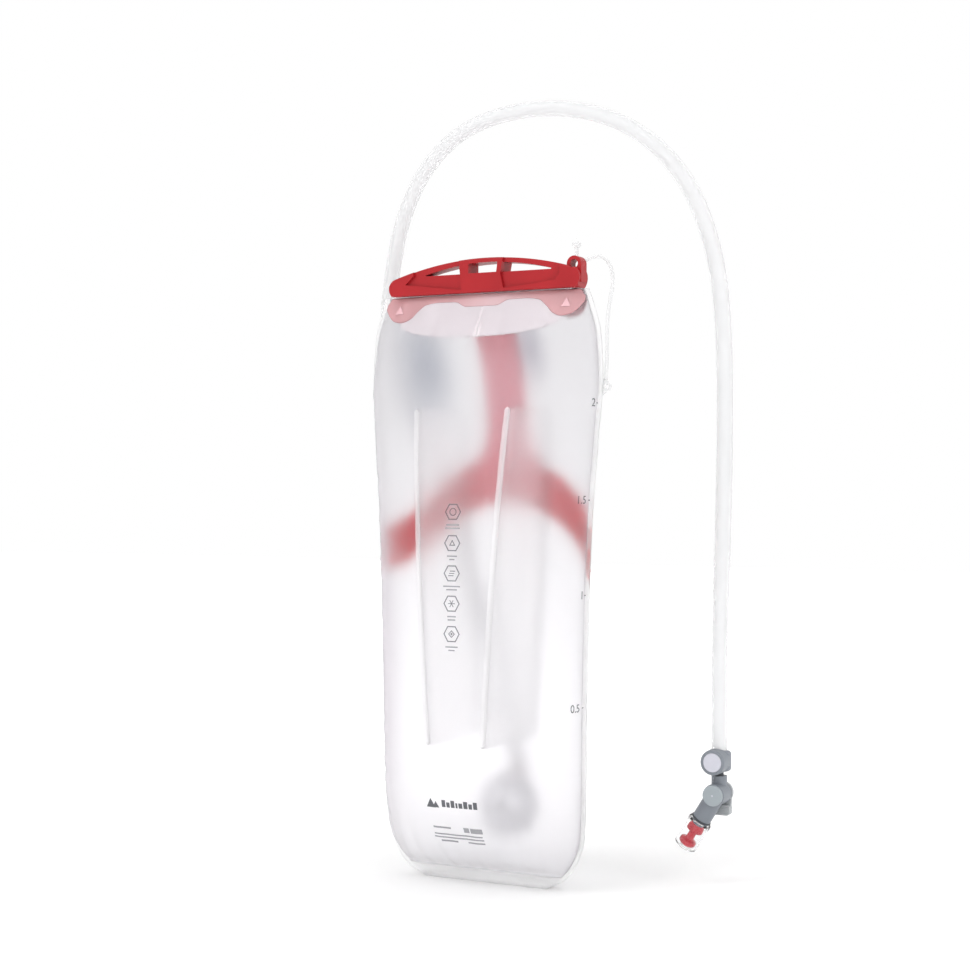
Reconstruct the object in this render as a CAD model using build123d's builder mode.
from build123d import *
import os
from math import cos, sin, tan, radians

os.makedirs("parts", exist_ok=True)

# A two litre drinking reservoir that stands on its bottom seam, with its slide closure on,
# its drink tube plugged in behind and the bite valve hanging at the right.
# X runs along the closure, -Y is the printed front, Z is up. Millimetres throughout.

# film bag
film = 0.8
weld_width = 3.0
foot_seam = 8.0
mouth_z = 350.0
patch = 0.9
inner_web = 0.6

# half width of the bag up its height, shared by both panels: (height, half width)
front_shape = [
    (8, 50.5, 1.7),
    (16, 57.0, 15),
    (30, 62.0, 27),
    (56, 63.2, 37),
    (110, 63.8, 40.5),
    (170, 65.2, 40.5),
    (225, 67.8, 38.5),
    (268, 71.5, 34.5),
    (300, 74.0, 27.5),
    (325, 72.5, 15.5),
    (340, 68.5, 6.0),
    (mouth_z, 65.0, 1.6),
]
back_shape = [
    (0, 40.0, 20.0),
    (12, 54.5, 27),
    (30, 62.0, 30.5),
    (56, 63.2, 32),
    (110, 63.8, 32.5),
    (170, 65.2, 32.5),
    (225, 67.8, 32),
    (268, 71.5, 29.5),
    (300, 74.0, 24.5),
    (325, 72.5, 14.5),
    (340, 68.5, 6.0),
    (mouth_z, 65.0, 1.6),
]

# slide closure and the rails it runs on
closure_half = 63.0
closure_depth = 13.0
closure_z = mouth_z + 0.5
closure_crown = (2.0, 370.8)
top_bar = 2.7
window_z = 362.0
window_left = -38.0
window_right = 46.0
post_left = [(-13.4, 361), (-7.9, 361), (-7.9, 373), (-14.7, 373)]
post_right = [(10.7, 361), (13.4, 361), (15.8, 373), (12.4, 373)]
sunk_left = [(-51.2, 357.2), (-45.5, 362.3), (-46, 373), (-14.7, 373), (-13.4, 361), (-12.9, 352.4)]
sunk_right = [(15.4, 352.4), (13.4, 361), (15.8, 373), (53, 373), (52.1, 359), (49.3, 355.6), (35.8, 353.8)]
sunk_depth = 1.8
channel_half = 3.6
channel_z = (352.7, 358.3)
channel_slot = 2.3
channel_stop = 60.0
rail_half = 3.1
rail_z = (353.2, 357.8)
rail_ends = (-61.0, 58.0)
eyelet_at = (60.2, 364.4)
eyelet_outer = 4.6
eyelet_hole = 2.5
eyelet_depth = 7.6
foot_outline = [(40, 0), (52, 6), (59, 14)]

# straps on the back: an upright one, and an arched one given as (end height, crown height)
strap_half = 13.5
arch_reach = 80.0
arch_upper = (188.0, 255.0)
arch_lower = (160.0, 226.0)
upright_foot = 245.0

# leash from the closure's eyelet to the right shoulder
leash_d = 2.2
knob_r = 2.7
knob_z = 376.2
anchor_at = (77.6, 293.2)
anchor_r = 3.4
leash_route = [
    (62.5, 5.4, 366.5),
    (69.0, 9.5, 371.0),
    (76.5, 10.5, 366.0),
    (80.5, 7.5, 354.0),
    (79.0, 4.0, 341.0),
    (77.8, 3.0, 326.0),
    (78.6, 2.4, 311.0),
    (77.6, 2.4, 297.0),
]

# quick connector low on the back panel; every _y is a distance back from the bag's middle plane
port_z = 42.0
port_flange_r = 19.0
flange_y = (26.0, 35.0)
port_hub_r = 12.0
hub_y = (28.5, 35.0)
seal_y = 33.0
seal_d = 1.2
socket_r = 9.0
socket_face = 42.0
chamber_r = 6.2
chamber_y = (20.8, 31.0)
nozzle_r = 7.4
nozzle_y = 20.0
seat_r = 3.6
plug_bore_r = 5.6
plug_r = 5.4
plug_y = (33.4, 42.3)
plug_flange = (8.5, 2.0)
swivel_r = 4.2
swivel_y = (44.3, 49.3)
water_r = 2.4
latch_y = 38.6
latch_foot = port_z + 5.0
latch_wall = 9.5
button_pin_r = 1.6
button_top = port_z + 16.0
elbow_r = 7.2
elbow_back = (44.6, 55.6)
elbow_y = 51.5
elbow_lean = 10.0
elbow_reach = 13.0

# drink tube
tube_d = 9.5
tube_bore = 6.4
tube_end = (128.4, 51.5, 68.5)
tube_route = [
    (-elbow_reach * sin(radians(elbow_lean)), elbow_y, port_z + elbow_reach * cos(radians(elbow_lean))),
    (-13.0, 51.0, 118.0),
    (-47.0, 48.5, 208.0),
    (-72.0, 46.5, 268.0),
    (-87.5, 40.0, 312.0),
    (-88.5, 34.0, 345.0),
    (-82.5, 32.0, 374.0),
    (-76.5, 32.5, 404.0),
    (-60.0, 34.0, 437.0),
    (-28.0, 36.0, 461.5),
    (24.8, 40.0, 468.0),
    (74.6, 43.0, 453.5),
    (109.7, 46.0, 420.4),
    (128.0, 48.5, 373.5),
    (132.8, 50.0, 318.0),
    (131.8, 51.0, 232.0),
    (128.4, 51.5, 146.0),
    tube_end,
]

# magnet clip and bite valve on the end of the tube
clip_z = 74.7
clip_r = 7.4
clip_front = 39.6
barrel_r = 7.0
barrel_half = 6.2
cover_r = 5.7
barb_r = 3.2
stem_r = 2.6
stem_end = 60.2
valve_z = 55.4
valve_r = 6.5
valve_y = (41.2, 55.4)
collar_r = 4.6
spool_r = 4.3
spool_y = (41.0, 55.7)
spool_face = (6.1, 1.4)
spool_pin_r = 2.2
lever_y = 58.6
lever_thick = 2.2
outlet_y = 47.0
outlet_lean = 32.0
outlet_r = 5.6
outlet_neck = 18.4
outlet_spout_r = 4.9
outlet_end = 23.4
core_waist = (26.5, 32.6)
core_waist_r = 2.6
core_end = 36.4
sheath_r = 7.3
sheath_span = (18.8, 37.8)
fit_gap = 0.05


def dome(shape, start_angle, grow=0.0, lift=0.0, mode=Mode.ADD):
    # half of the inflated pillow: half ellipses lofted up the height, grown or shrunk by a wall
    sections = []
    for index, (height, half_width, depth) in enumerate(shape):
        with BuildSketch(Plane.XY.offset(height + (lift if index == 0 else 0))) as section:
            with BuildLine():
                rim = EllipticalCenterArc(
                    (0, 0), half_width + grow, depth + grow, start_angle=start_angle, arc_size=180
                )
                Line(rim @ 1, rim @ 0)
            make_face()
        sections.append(section.sketch)
    loft(sections, mode=mode)


def port_plane(y):
    return Plane(origin=(0, y, port_z), x_dir=(1, 0, 0), z_dir=(0, 1, 0))


def rod(plane, radius, length, mode=Mode.ADD):
    # a round bar from the plane along its normal
    with BuildSketch(plane) as section:
        Circle(radius)
    extrude(section.sketch, amount=length, mode=mode)


def ring(plane, mean_radius, wire_radius):
    # an O-ring lying in the plane
    with BuildSketch(Plane(origin=plane.origin, x_dir=plane.x_dir, z_dir=plane.y_dir)) as section:
        with Locations((mean_radius, 0)):
            Circle(wire_radius)
    revolve(section.sketch, axis=Axis(plane.origin, plane.z_dir))


def coil(centre, direction, radius, wire_radius, length, turns):
    # a compression spring from its centre along a direction
    with BuildLine() as turn_line:
        Helix(pitch=length / turns, height=length, radius=radius, center=centre, direction=direction)
    with BuildSketch(Plane(turn_line.line @ 0, z_dir=turn_line.line % 0)) as section:
        Circle(wire_radius)
    sweep(section.sketch, path=turn_line.line, is_frenet=True)


def bend_radii(route):
    # each arc takes 0.45 of its shorter run on both sides of the point
    radii = []
    for before, point, after in zip(route, route[1:], route[2:]):
        arrive = Vector(*point) - Vector(*before)
        leave = Vector(*after) - Vector(*point)
        half_turn = radians(arrive.get_angle(leave)) / 2
        radii.append(0.45 * min(arrive.length, leave.length) / tan(half_turn))
    return radii


def hose(route, outer_r, inner_r):
    # straight runs joined by tangent arcs, swept with the tube's section
    with BuildLine() as path:
        FilletPolyline(*route, radius=bend_radii(route))
    with BuildSketch(Plane(path.line @ 0, z_dir=path.line % 0)) as section:
        Circle(outer_r)
        if inner_r:
            Circle(inner_r, mode=Mode.SUBTRACT)
    sweep(section.sketch, path=path.line)
    return sum(edge.length for edge in path.edges())


# ---- outlines, seen from the front ----

with BuildSketch(Plane.XZ) as weld_outline:
    # the flat welded edge round the sides and the foot
    with BuildLine():
        side_points = [(w + weld_width, h) for h, w, _ in front_shape[2:-1]]
        side = Spline(*foot_outline, *side_points, (66, mouth_z))
        Line((0, 0), side @ 0)
        Line(side @ 1, (0, mouth_z))
        mirror(about=Plane.YZ)
    make_face()

with BuildSketch(Plane.XZ) as band_outline:
    # reinforcing strip below the closure, with a round ear at each end and a small drop in the middle
    with BuildLine():
        lower = Polyline((0, 338), (13, 339), (18, 343), (38, 343.5), (46, 334), (50, 331))
        ear = ThreePointArc(lower @ 1, (60, 327.5), (68, 335))
        outer = ThreePointArc(ear @ 1, (70, 342), (66, mouth_z))
        Line(outer @ 1, (0, mouth_z))
        mirror(about=Plane.YZ)
    make_face()

with BuildSketch(Plane.XZ) as flap_outline:
    # crescent of doubled film under the strip
    with BuildLine():
        ThreePointArc((-54, 331), (0, 316), (54, 331))
        Polyline((54, 331), (38, mouth_z - 4), (-38, mouth_z - 4), (-54, 331))
    make_face()
    add(band_outline.sketch_local, mode=Mode.SUBTRACT)

with BuildSketch(Plane.XZ) as yoke_outline:
    # a strap up the middle of the back, joined to an arched strap that runs down to both side welds
    with BuildLine():
        upper = ThreePointArc((-arch_reach, arch_upper[0]), (0, arch_upper[1]), (arch_reach, arch_upper[0]))
        lower = ThreePointArc((arch_reach, arch_lower[0]), (0, arch_lower[1]), (-arch_reach, arch_lower[0]))
        Line(upper @ 1, lower @ 0)
        Line(lower @ 1, upper @ 0)
    make_face()
    with Locations((0, (upright_foot + mouth_z) / 2)):
        Rectangle(2 * strap_half, mouth_z - upright_foot)
    add(band_outline.sketch_local, mode=Mode.SUBTRACT)

# ---- film bag ----

front_start, back_start = 180, 0

with BuildPart() as front_outer:
    dome(front_shape, front_start)

with BuildPart() as back_outer:
    dome(back_shape, back_start)

with BuildPart() as cavity:
    dome(front_shape, front_start, -film, film)
    dome(back_shape, back_start, -film, film)

with BuildPart() as front_panel:
    dome(front_shape, front_start)
    extrude(weld_outline.sketch, amount=film)
    dome(front_shape, front_start, -film, film, mode=Mode.SUBTRACT)

with BuildPart() as back_panel:
    dome(back_shape, back_start)
    extrude(weld_outline.sketch, amount=-film)
    dome(back_shape, back_start, -film, film, mode=Mode.SUBTRACT)
    rod(port_plane(20), port_hub_r, 25, mode=Mode.SUBTRACT)

for side, label in ((-1, "baffle_left"), (1, "baffle_right")):
    with BuildPart() as baffle:
        with BuildSketch(Plane.XZ.offset(-50)):
            Polygon(
                (side * 18, 85),
                (side * (18 + inner_web), 85),
                (side * (30 + inner_web), 281),
                (side * 30, 281),
                align=None,
            )
        extrude(amount=100)
        add(cavity.part, mode=Mode.INTERSECT)
    baffle.part.label = label
    export_step(baffle.part, f"parts/{label}.step")

# ---- patches that hug the film ----

with BuildPart() as front_skin:
    dome(front_shape, front_start, patch)
    add(front_outer.part, mode=Mode.SUBTRACT)
    with BuildSketch(Plane.XZ):
        Rectangle(400, 800)
    extrude(amount=film, mode=Mode.SUBTRACT)

with BuildPart() as back_skin:
    dome(back_shape, back_start, patch)
    add(back_outer.part, mode=Mode.SUBTRACT)
    with BuildSketch(Plane.XZ):
        Rectangle(400, 800)
    extrude(amount=-film, mode=Mode.SUBTRACT)

with BuildPart() as mouth_band_front:
    extrude(band_outline.sketch, amount=50)
    add(front_skin.part, mode=Mode.INTERSECT)

with BuildPart() as mouth_band_back:
    extrude(band_outline.sketch, amount=-50)
    add(back_skin.part, mode=Mode.INTERSECT)

with BuildPart() as mouth_flap:
    extrude(flap_outline.sketch, amount=50)
    add(front_skin.part, mode=Mode.INTERSECT)

with BuildPart() as back_yoke:
    extrude(yoke_outline.sketch, amount=-50)
    add(back_skin.part, mode=Mode.INTERSECT)

# ---- rails in the mouth ----

for side, label in ((-1, "mouth_rail_front"), (1, "mouth_rail_back")):
    with BuildPart() as rail:
        with BuildSketch(Plane.YZ.offset(rail_ends[0])):
            Polygon(
                (side * 0.1, mouth_z),
                (side * 1.5, mouth_z),
                (side * 1.5, rail_z[0]),
                (side * rail_half, rail_z[0]),
                (side * 2.2, rail_z[1]),
                (side * 0.1, rail_z[1]),
                align=None,
            )
        extrude(amount=rail_ends[1] - rail_ends[0])
    rail.part.label = label
    export_step(rail.part, f"parts/{label}.step")

with BuildPart() as leash_anchor:
    with BuildSketch(Plane.XZ.offset(-film)):
        with Locations(anchor_at):
            Circle(anchor_r)
        with BuildLine():
            Polyline((74.2, 287), (78, 289.8), (78, 296.6), (74.2, 298.5), close=True)
        make_face()
        with Locations(anchor_at):
            Circle(1.4, mode=Mode.SUBTRACT)
    extrude(amount=-2.4)

# ---- slide closure ----

with BuildPart() as slide_closure:
    # arched bar with a round left end and an upright right end
    with BuildSketch(Plane.XZ.offset(-closure_depth / 2)) as bar_outline:
        with BuildLine():
            top = ThreePointArc((-60.0, 360.5), closure_crown, (58.0, 363.2))
            left = ThreePointArc(top @ 0, (-closure_half, 356), (-61.0, closure_z))
            Line(left @ 1, (62.5, closure_z))
            right = ThreePointArc((62.5, closure_z), (64.6, 356), (63.0, 362))
            Line(right @ 1, top @ 1)
        make_face()
        fillet(bar_outline.vertices(), 0.9)
    extrude(amount=closure_depth)
    fillet(slide_closure.edges().group_by(Axis.Y)[0] + slide_closure.edges().group_by(Axis.Y)[-1], 0.8)
    # eyelet for the leash
    with BuildSketch(Plane.XZ.offset(-eyelet_depth / 2)):
        with Locations(eyelet_at):
            Circle(eyelet_outer)
        with Locations((eyelet_at[0], 359)):
            Rectangle(2 * eyelet_outer, 11)
    extrude(amount=eyelet_depth)
    with BuildSketch(Plane.XZ.offset(-closure_depth / 2)):
        with Locations(eyelet_at):
            Circle(eyelet_hole)
    extrude(amount=closure_depth, mode=Mode.SUBTRACT)
    # three windows under the arch
    with BuildSketch(Plane.XZ.offset(-closure_depth)):
        with BuildLine():
            roof = ThreePointArc(
                (window_left, window_z + 0.6),
                (closure_crown[0], closure_crown[1] - top_bar),
                (window_right, window_z + 0.6),
            )
            Line(roof @ 1, (window_right, window_z))
            Line((window_right, window_z), (window_left, window_z))
            Line((window_left, window_z), roof @ 0)
        make_face()
        Polygon(*post_left, align=None, mode=Mode.SUBTRACT)
        Polygon(*post_right, align=None, mode=Mode.SUBTRACT)
    extrude(amount=2 * closure_depth, mode=Mode.SUBTRACT)
    # sunk faces left and right of the middle panel, front and back
    for face in (-closure_depth / 2, closure_depth / 2 - sunk_depth):
        with BuildSketch(Plane.XZ.offset(face)):
            Polygon(*sunk_left, align=None)
            Polygon(*sunk_right, align=None)
        extrude(amount=sunk_depth, mode=Mode.SUBTRACT)
    # channel for the rails, open at the left end and along the underside
    with BuildSketch(Plane.YZ.offset(-closure_half - 2)):
        with Locations((0, (channel_z[0] + channel_z[1]) / 2)):
            Rectangle(2 * channel_half, channel_z[1] - channel_z[0])
        with Locations((0, channel_z[0] - 1)):
            Rectangle(2 * channel_slot, 6)
    extrude(amount=channel_stop + closure_half + 2, mode=Mode.SUBTRACT)

with BuildPart() as leash_knob:
    # ball on a short neck that grips the top of the eyelet
    with Locations((eyelet_at[0], 0, knob_z)):
        Sphere(knob_r)
    with BuildSketch(Plane.XY.offset(eyelet_at[1] + eyelet_outer - 0.6)) as neck:
        with Locations((eyelet_at[0], 0)):
            Circle(1.1)
    extrude(amount=6)

with BuildPart() as leash:
    leash_length = hose(leash_route, leash_d / 2, 0)

# ---- quick connector ----

with BuildPart() as port_base:
    rod(port_plane(flange_y[0]), port_flange_r, flange_y[1] - flange_y[0])
    add(back_outer.part, mode=Mode.SUBTRACT)
    rod(port_plane(hub_y[0]), port_hub_r, hub_y[1] - hub_y[0])
    rod(port_plane(hub_y[0] - 0.5), socket_r, 8, mode=Mode.SUBTRACT)
    rod(port_plane(seal_y), socket_r + seal_d, seal_d, mode=Mode.SUBTRACT)

with BuildPart() as port_seal:
    rod(port_plane(seal_y), socket_r + seal_d, seal_d)
    rod(port_plane(seal_y), socket_r, seal_d, mode=Mode.SUBTRACT)

with BuildPart() as port_socket:
    rod(port_plane(hub_y[0]), socket_r, socket_face - hub_y[0])
    rod(port_plane(nozzle_y), nozzle_r, hub_y[0] - nozzle_y)
    # latch housing on top
    with BuildSketch(Plane.XY.offset(latch_foot)):
        with Locations((0, latch_y)):
            Rectangle(12, 2 * (socket_face - latch_y))
    extrude(amount=latch_wall)
    # poppet chamber, seat and plug bore
    rod(port_plane(chamber_y[0]), chamber_r, chamber_y[1] - chamber_y[0], mode=Mode.SUBTRACT)
    rod(port_plane(nozzle_y - 1), 2.6, 3, mode=Mode.SUBTRACT)
    rod(port_plane(30), seat_r, 5, mode=Mode.SUBTRACT)
    rod(port_plane(33), plug_bore_r, 20, mode=Mode.SUBTRACT)
    # slot for the latch plate, and a stepped hole for the button and its spring
    rod(port_plane(latch_y - 1.4), 8.4, 2.8, mode=Mode.SUBTRACT)
    with BuildSketch(Plane.XY.offset(latch_foot)):
        with Locations((0, latch_y)):
            Circle(1.9)
    extrude(amount=13, mode=Mode.SUBTRACT)
    with BuildSketch(Plane.XY.offset(port_z + 11.5)):
        with Locations((0, latch_y)):
            Circle(2.6)
    extrude(amount=6, mode=Mode.SUBTRACT)

with BuildPart() as poppet:
    rod(port_plane(27.4), 5.0, 2.0)
    rod(port_plane(29.4), 1.5, 3.4)
    rod(port_plane(32.7), 3.0, 0.6)

with BuildPart() as poppet_spring:
    coil((0, 21.4, port_z), (0, 1, 0), 3.9, 0.35, 5.5, 4)

with BuildPart() as release_button:
    rod(port_plane(latch_y - 1.1), 7.0, 2.2)
    rod(port_plane(latch_y - 2), 5.9, 4, mode=Mode.SUBTRACT)
    with BuildSketch(Plane.XY.offset(port_z + 6.4)):
        with Locations((0, latch_y)):
            Circle(button_pin_r)
    extrude(amount=10)
    with BuildSketch(Plane.XY.offset(button_top)):
        with Locations((0, latch_y)):
            RectangleRounded(10.4, 6.2, 2)
    extrude(amount=2.2)
    fillet(release_button.faces().sort_by(Axis.Z)[-1].edges(), 0.7)

with BuildPart() as button_spring:
    coil((0, latch_y, port_z + 11.8), (0, 0, 1), 2.15, 0.25, 3.8, 3)

with BuildPart() as plug_nose:
    rod(port_plane(plug_y[0]), plug_r, plug_y[1] - plug_y[0])
    rod(port_plane(plug_y[1]), *plug_flange)
    rod(port_plane(swivel_y[0]), swivel_r, swivel_y[1] - swivel_y[0])
    # waterway, seal groove, latch groove and swivel seal groove
    rod(port_plane(33), water_r, 20, mode=Mode.SUBTRACT)
    for start, depth_r, width, outer in ((34.6, 4.5, 1.5, 6), (latch_y - 1.6, 4.3, 3.2, 6), (46.0, 3.3, 1.3, 5)):
        with BuildSketch(port_plane(start)):
            Circle(outer)
            Circle(depth_r, mode=Mode.SUBTRACT)
        extrude(amount=width, mode=Mode.SUBTRACT)

with BuildPart() as plug_oring:
    ring(port_plane(35.35), 5.03, 0.53)

with BuildPart() as swivel_oring:
    ring(port_plane(46.65), 3.75, 0.45)

arm_dir = Vector(-sin(radians(elbow_lean)), 0, cos(radians(elbow_lean)))
with BuildPart() as hose_elbow:
    rod(port_plane(elbow_back[0]), elbow_r, elbow_back[1] - elbow_back[0])
    fillet(hose_elbow.faces().sort_by(Axis.Y)[-1].edges(), 2.0)
    rod(Plane(origin=(0, elbow_y, port_z), z_dir=arm_dir), 5.0, elbow_reach)
    rod(Plane(origin=(0, elbow_y, port_z), z_dir=arm_dir), tube_bore / 2, elbow_reach + 12)
    rod(port_plane(44), swivel_r + fit_gap, 5.6, mode=Mode.SUBTRACT)
    rod(port_plane(49), 3.0, 4.6, mode=Mode.SUBTRACT)
    rod(Plane(origin=(0, elbow_y, port_z), z_dir=arm_dir), 2.2, 30, mode=Mode.SUBTRACT)

# ---- drink tube ----

with BuildPart() as drink_tube:
    tube_length = hose(tube_route, tube_d / 2, tube_bore / 2)

# ---- magnet clip ----

tube_x, tube_y, tube_z = tube_end


def front_plane(y, z):
    # an upright plane across the tube's axis, facing the front
    return Plane(origin=(tube_x, y, z), x_dir=(1, 0, 0), z_dir=(0, -1, 0))


def drop_plane(z):
    # a level plane on the tube's axis, facing down
    return Plane(origin=(tube_x, tube_y, z), x_dir=(1, 0, 0), z_dir=(0, 0, -1))


with BuildPart() as clip_barrel:
    rod(drop_plane(clip_z + barrel_half), barrel_r, 2 * barrel_half)
    fillet(clip_barrel.edges().filter_by(GeomType.CIRCLE), 2.2)

with BuildPart() as magnet_clip:
    rod(front_plane(tube_y - 1, clip_z), clip_r, tube_y - 1 - clip_front)
    fillet(magnet_clip.faces().sort_by(Axis.Y)[0].edges(), 0.8)
    add(clip_barrel.part)
    rod(front_plane(clip_front + 3.4, clip_z), cover_r, 4, mode=Mode.SUBTRACT)
    rod(drop_plane(clip_z + 10), tube_d / 2 + 0.09, 20, mode=Mode.SUBTRACT)
    # snap opening, at the back on the right
    with BuildSketch(Plane(origin=(tube_x, tube_y, clip_z - 8), x_dir=(1, 1, 0), z_dir=(0, 0, 1))):
        with Locations((6, 0)):
            Rectangle(12, 6.6)
    extrude(amount=16, mode=Mode.SUBTRACT)

with BuildPart() as clip_magnet:
    rod(front_plane(clip_front + 3.4, clip_z), 5.5, 2.4)

with BuildPart() as clip_cover:
    rod(front_plane(clip_front + 1.0, clip_z), cover_r, 1.0)
    fillet(clip_cover.faces().sort_by(Axis.Y)[0].edges(), 0.5)

# ---- bite valve ----

with BuildPart() as barb_stem:
    rod(drop_plane(tube_z + 11), barb_r, 11)
    rod(drop_plane(tube_z), stem_r, tube_z - stem_end)
    rod(drop_plane(61.6), 3.5, 1.4)
    rod(drop_plane(tube_z + 12), 1.8, 24, mode=Mode.SUBTRACT)


def outlet_plane(distance):
    # across the outlet, at a distance from the spool's axis
    lean = radians(outlet_lean)
    down = Vector(-sin(lean), 0, -cos(lean))
    return Plane(origin=Vector(tube_x, outlet_y, valve_z) + down * distance, x_dir=(0, 1, 0), z_dir=down)


with BuildPart() as valve_body:
    rod(front_plane(valve_y[1], valve_z), valve_r, valve_y[1] - valve_y[0])
    fillet(valve_body.edges().filter_by(GeomType.CIRCLE), 0.9)
    rod(drop_plane(65.9), collar_r, 8.0)
    rod(outlet_plane(0), outlet_r, outlet_neck)
    rod(outlet_plane(0), outlet_spout_r, outlet_end)
    rod(front_plane(60, valve_z), spool_r + fit_gap, 30, mode=Mode.SUBTRACT)
    rod(drop_plane(70), stem_r + fit_gap + 0.02, 10, mode=Mode.SUBTRACT)
    rod(drop_plane(61.8), 3.6, 3, mode=Mode.SUBTRACT)
    rod(outlet_plane(0), water_r, 30, mode=Mode.SUBTRACT)

with BuildPart() as valve_spool:
    rod(front_plane(spool_y[1], valve_z), spool_r, spool_y[1] - spool_y[0])
    rod(front_plane(58.4, valve_z), spool_pin_r, 4)
    rod(front_plane(spool_y[0], valve_z), *spool_face)
    fillet(valve_spool.faces().sort_by(Axis.Y)[0].edges(), 0.6)
    # waterway from the stem across to the outlet, and two seal grooves
    rod(front_plane(53.5, valve_z), 1.9, 8.4, mode=Mode.SUBTRACT)
    rod(Plane(origin=(tube_x, tube_y, valve_z), z_dir=(0, 0, 1)), 1.7, 8, mode=Mode.SUBTRACT)
    rod(outlet_plane(0), 1.6, 8, mode=Mode.SUBTRACT)
    for y in (43.6, 55.1):
        with BuildSketch(front_plane(y, valve_z)):
            Circle(6)
            Circle(3.5, mode=Mode.SUBTRACT)
        extrude(amount=1.0, mode=Mode.SUBTRACT)

with BuildPart() as spool_orings:
    ring(front_plane(43.1, valve_z), 3.9, 0.39)
    ring(front_plane(54.6, valve_z), 3.9, 0.39)

with BuildPart() as valve_lever:
    # round cap, flat arm and thumb pad
    rod(front_plane(lever_y, valve_z), 6.3, lever_thick)
    with BuildSketch(front_plane(lever_y, valve_z)):
        Polygon((-5.8, 0), (-5.0, -9), (5.0, -9), (5.8, 0), align=None)
    extrude(amount=lever_thick)
    with BuildSketch(front_plane(lever_y, valve_z)):
        with Locations((0, -10.3)):
            RectangleRounded(10.6, 6.2, 2.0)
    extrude(amount=4.6)
    rod(front_plane(60, valve_z), spool_pin_r, 6, mode=Mode.SUBTRACT)

with BuildPart() as bite_core:
    rod(outlet_plane(outlet_end), outlet_spout_r, core_waist[0] - outlet_end)
    rod(outlet_plane(core_waist[0]), core_waist_r, core_waist[1] - core_waist[0])
    rod(outlet_plane(core_waist[1]), outlet_spout_r - 0.1, core_end - core_waist[1])
    fillet(bite_core.edges().sort_by(Axis.Z)[:1], 0.6)

with BuildPart() as bite_sheath:
    rod(outlet_plane(sheath_span[0]), sheath_r, sheath_span[1] - sheath_span[0])
    rod(outlet_plane(0), outlet_spout_r + 0.1 + fit_gap, core_end + 0.5, mode=Mode.SUBTRACT)
    fillet(bite_sheath.edges().sort_by(Axis.Z)[:1], 1.2)

pieces = {
    "front_panel": front_panel,
    "back_panel": back_panel,
    "mouth_band_front": mouth_band_front,
    "mouth_band_back": mouth_band_back,
    "mouth_flap": mouth_flap,
    "back_yoke": back_yoke,
    "leash_anchor": leash_anchor,
    "slide_closure": slide_closure,
    "leash_knob": leash_knob,
    "leash": leash,
    "port_base": port_base,
    "port_seal": port_seal,
    "port_socket": port_socket,
    "poppet": poppet,
    "poppet_spring": poppet_spring,
    "release_button": release_button,
    "button_spring": button_spring,
    "plug_nose": plug_nose,
    "plug_oring": plug_oring,
    "swivel_oring": swivel_oring,
    "hose_elbow": hose_elbow,
    "drink_tube": drink_tube,
    "magnet_clip": magnet_clip,
    "clip_magnet": clip_magnet,
    "clip_cover": clip_cover,
    "barb_stem": barb_stem,
    "valve_body": valve_body,
    "valve_spool": valve_spool,
    "spool_orings": spool_orings,
    "valve_lever": valve_lever,
    "bite_core": bite_core,
    "bite_sheath": bite_sheath,
}
for name, piece in pieces.items():
    piece.part.label = name
    export_step(piece.part, f"parts/{name}.step")

print("tube", round(tube_length, 1), [round(r) for r in bend_radii(tube_route)])
print("leash", round(leash_length, 1), [round(r, 1) for r in bend_radii(leash_route)])
